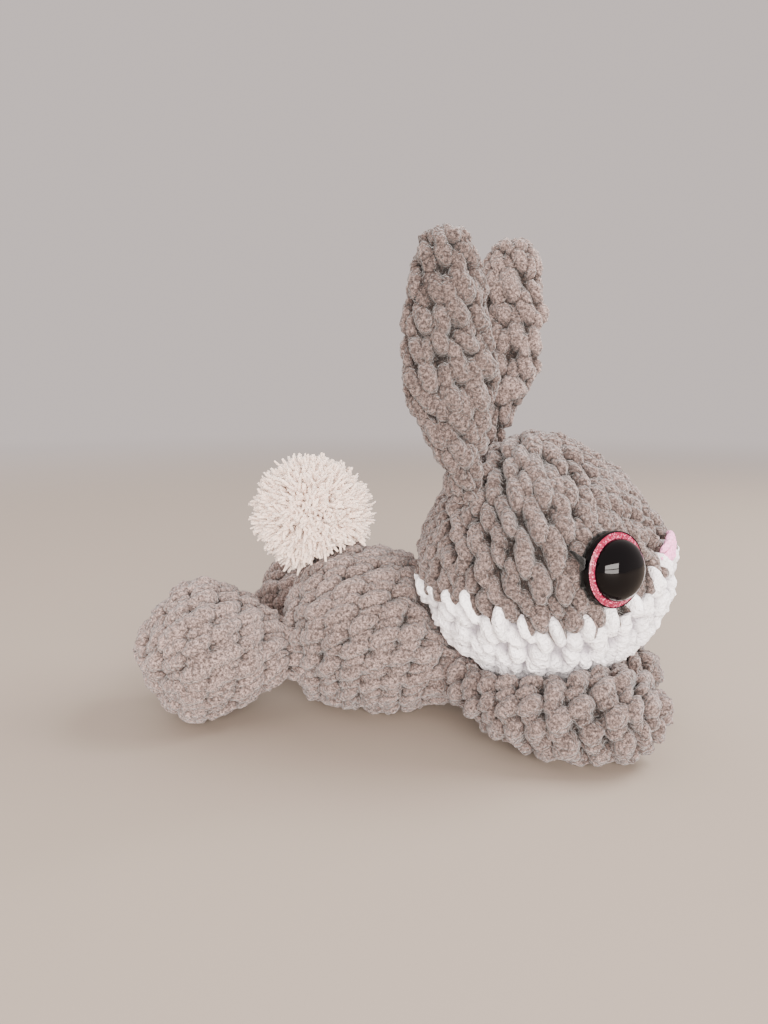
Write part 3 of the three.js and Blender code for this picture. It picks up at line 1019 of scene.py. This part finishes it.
def make_nose(material):
    """Pink yarn stitched across: strands side by side that dip into the head at both ends."""
    corners = places_of("nose")
    out = unit((corners.min(0) + corners.max(0)) / 2 - HEAD_MIDDLE)
    wide = unit(np.cross(HEAD_UP, out))
    high = np.cross(out, wide)
    half = np.ptp(corners @ wide) / 2
    reach = lengths(corners - HEAD_MIDDLE).max()
    for k in range(NOSE_STRANDS):
        off_middle = k - (NOSE_STRANDS - 1) / 2
        level = off_middle * NOSE_STEP * NOSE_YARN
        share = np.linspace(-1, 1, 50)
        width = half * (NOSE_SHARE - NOSE_SHORTER * abs(off_middle)) * share - NOSE_ASIDE
        depth = reach - NOSE_YARN * NOSE_DEEP - NOSE_DIP * np.abs(share) ** 3.5 - width**2 / (2 * reach)
        path = HEAD_MIDDLE + width[:, None] * wide + depth[:, None] * out
        path = path + (level + 0.35 * np.sin(3 * share + k))[:, None] * high
        radius = NOSE_YARN * np.sqrt(np.maximum(0.03, 1 - np.abs(share) ** 6))
        rings = strand_rings(path, radius, 28)
        rings = rings + unit(rings - path[:, None]) * (0.7 * pile(rings, 90 + k))[..., None]
        tone = np.full(rings.shape[:2], 0.3 + 0.2 * k)
        piece = skin_mesh(f"nose_strand_{k + 1}", rings, {"painted_shade": 0 * tone, "tone": tone})
        finish_piece(piece, material, ["nose"])


POMPOM_STRANDS = 3450
POMPOM_CORE = 0.56  # the core's share of the pompom's radius
POMPOM_SIDES = 5
POMPOM_FAN = 0.46  # how far the strands' aims stray from straight out
POMPOM_BOW = (0.5, 6.0)  # mm that a strand's end is bent aside
POMPOM_REACH = (0.84, 1.06)  # the strands' ends, shares of the pompom's radius
POMPOM_YARN = (0.5, 0.84)  # mm, radii of the strands
POMPOM_SWELL = np.array([0.75, 0.95, 1.05, 1.1, 1.0, 0.6])  # a strand's radius from root to tip


def even_directions(count):
    """Directions spread evenly over a sphere along a golden spiral."""
    index = np.arange(count) + 0.5
    level = 1 - 2 * index / count
    turn = index * math.pi * (3 - math.sqrt(5))
    flat = np.sqrt(1 - level**2)
    return np.stack([flat * np.cos(turn), flat * np.sin(turn), level], -1)


def make_pompom(material):
    """A cut pompom: a dense core and soft round-ended strands that fan out of it."""
    corners = places_of("tail")
    middle = (corners.min(0) + corners.max(0)) / 2
    radius = (corners.max(0) - corners.min(0)).max() / 2
    trunk = tree_of("trunk")
    dice = np.random.default_rng(7)
    share = np.linspace(0, 1, len(POMPOM_SWELL))[:, None]
    rings_all, tones, roots = [], [], []
    for start in even_directions(POMPOM_STRANDS):
        aim = unit(start + dice.normal(0, POMPOM_FAN, 3))
        bow = np.cross(aim, unit(dice.normal(0, 1, 3))) * dice.uniform(*POMPOM_BOW)
        uneven = 1 + 0.08 * lumps(start[None] * 10, 5.0, 8)[0]
        reach = radius * uneven * dice.uniform(*POMPOM_REACH)
        root = middle + start * radius * POMPOM_CORE
        path = root + share * (reach - radius * POMPOM_CORE) * aim + share**2 * bow
        end = Vector(path[-1])
        near, outward = trunk.find_nearest(end)[:2]
        if (end - near).dot(outward) < 0:  # inside the trunk
            continue
        thick = dice.uniform(*POMPOM_YARN) * POMPOM_SWELL
        rings_all.append(strand_rings(path, thick, POMPOM_SIDES))
        tones.append(dice.uniform(0, 1))
        roots.append(start)
    strands_mesh("tail_pompom", np.array(rings_all), np.array(tones), np.array(roots), material)
    core = middle + unit(sphere_grid(60, 90)) * radius * (POMPOM_CORE + 0.02)
    core = core + unit(core - middle) * (1.2 * lumps(core, 2.5, 3))[..., None]
    # The core is painted wholly in the yarn's darker colour: painted shade deep among the strands.
    shade = np.ones(core.shape[:2])
    piece = skin_mesh("tail_core", core, {"painted_shade": shade, "tone": 0.5 * shade})
    finish_piece(piece, material, ["tail"])


def sphere_grid(rings, sides):
    """Unit vectors in rings from pole to pole."""
    polar = np.linspace(1e-3, math.pi - 1e-3, rings)[:, None]
    turn = turns(sides)[None]
    flat = np.sin(polar)
    return np.stack([flat * np.cos(turn), flat * np.sin(turn), np.cos(polar) + 0 * turn], -1)


BAKE_PATCH = 0.003  # side of each strand's patch on the unwrap


def strands_mesh(name, rings, tones, roots, material):
    """Joins round-ended strands. rings is [strand, ring, side, xyz]. Each has one small patch to bake."""
    count, levels, sides = rings.shape[:3]
    quads, quad_uv = grid_faces(levels, sides)
    each = levels * sides
    cap = (levels - 1) * sides + np.arange(sides)
    foot = np.arange(sides)[::-1]
    first = (np.arange(count) * each)[:, None]
    faces = np.concatenate([quads.ravel(), cap, foot])[None] + first
    sizes = np.tile(np.concatenate([np.full(len(quads), 4), [sides, sides]]), count)
    turn = turns(sides)
    ends_uv = [np.stack([0.5 + 0.4 * np.cos(turn), v + 0.1 * np.sin(turn)], -1) for v in (0.9, 0.1)]
    small = np.concatenate([quad_uv.reshape(-1, 2), *ends_uv])
    round_home = 0.5 + np.arctan2(roots[:, 1], roots[:, 0]) / (2 * math.pi)
    home = np.stack([round_home, (roots[:, 2] + 1) / 2], -1) * (1 - BAKE_PATCH)
    uv = home[:, None] + small[None] * BAKE_PATCH
    mesh = raw_mesh(name, rings.reshape(-1, 3), faces.ravel(), sizes, uv.reshape(-1, 2))
    # Each strand is painted darker toward its root: painted shade among the strands.
    painted_root_shade = np.linspace(1, 0, levels)[None, :, None] ** 1.5
    for key, value in (("painted_shade", painted_root_shade), ("tone", tones[:, None, None])):
        mark(mesh, key, np.broadcast_to(value, (count, levels, sides)))
    turn_outward(mesh, rings[0].reshape(-1, 3), quads)
    finish_piece(link(name, mesh), material, ["tail"])


# ---- floor, light and camera


def paper(name, colour):
    """Matt studio paper, pale and even. Far from the object it glows as the backdrop does."""
    material, tree, place = new_material(name)
    bump = bumped(tree, 0.03, 0.0002, noise(tree, place, 900.0))
    finish = {"Base Color": linear(colour), "Roughness": 0.75, "Specular IOR Level": 0.2}
    sheet = add(tree, "BsdfPrincipled", finish, Normal=bump)
    glow = add(tree, "Emission", {"Color": linear(BACKDROP), "Strength": BACKDROP_GLOW})
    away = add(tree, "VectorMath", {"operation": "LENGTH"}, in_0=place)
    away = away.outputs["Value"]
    share = ranged(tree, away, 0.35, 1.6, 0, 1, interpolation_type="SMOOTHERSTEP")
    both = add(tree, "MixShader", in_0=share, in_1=sheet, in_2=glow)
    add(tree, "OutputMaterial", Surface=both)
    return material


def make_floor():
    bpy.ops.mesh.primitive_plane_add(size=30.0)
    floor = bpy.context.object
    floor.name = "floor"
    floor.data.materials.append(paper("studio_paper", "#9c8f83"))


def area_light(name, place, size, power, colour="#ffffff", mirrored=True):
    """An area light. One that isn't mirrored doesn't show as a shape in polished surfaces."""
    light = bpy.data.lights.new(name, "AREA")
    light.shape = "RECTANGLE"
    light.size, light.size_y = size
    light.energy = power
    light.color = linear(colour)[:3]
    lamp = link(name, light)
    lamp.visible_glossy = mirrored
    lamp.location = place
    aim = Vector(LIGHT_AIM) - Vector(place)
    lamp.rotation_euler = aim.to_track_quat("-Z", "Y").to_euler()


def make_camera():
    data = bpy.data.cameras.new("camera")
    data.lens = CAMERA_LENS
    data.sensor_width = 36
    camera = link("camera", data)
    camera.location = [c * MM for c in CAMERA_PLACE]
    camera.rotation_euler = (math.radians(90 - CAMERA_DOWN), 0, math.radians(CAMERA_TURN))
    bpy.context.scene.camera = camera


def make_light():
    """A pale studio: a window in two panes in front, and soft lights to the right, behind and above."""
    world = bpy.data.worlds.new("studio")
    world.use_nodes = True
    background = world.node_tree.nodes["Background"]
    background.inputs["Color"].default_value = linear(BACKDROP)
    background.inputs["Strength"].default_value = BACKDROP_GLOW
    bpy.context.scene.world = world
    area_light("window_upper", (0.32, -0.96, 0.36), (1.15, 0.24), 23.0, "#fff6f0")
    area_light("window_lower", (0.33, -0.98, 0.11), (1.15, 0.18), 14.0, "#fff6f0")
    area_light("key", (0.75, 0.30, 0.85), (0.6, 0.6), 24.0, mirrored=False)
    area_light("fill", (-0.80, 0.60, 0.60), (1.0, 1.0), 6.0, mirrored=False)
    area_light("overhead", (-0.2, -0.2, 0.9), (1.2, 1.2), 3.0, mirrored=False)


make_head()
make_body()
EYE_MATERIALS = {"rim": black_plastic(), "iris": pink_glitter(), "pupil": black_gloss()}
BLACK_FELT = felt("black_felt", "#080706")
for side in ("right", "left"):
    make_eye(side, EYE_MATERIALS)
    make_felt(side, BLACK_FELT)
make_nose(PINK_CHENILLE)
make_pompom(CREAM_CHENILLE)
make_floor()
make_light()
make_camera()
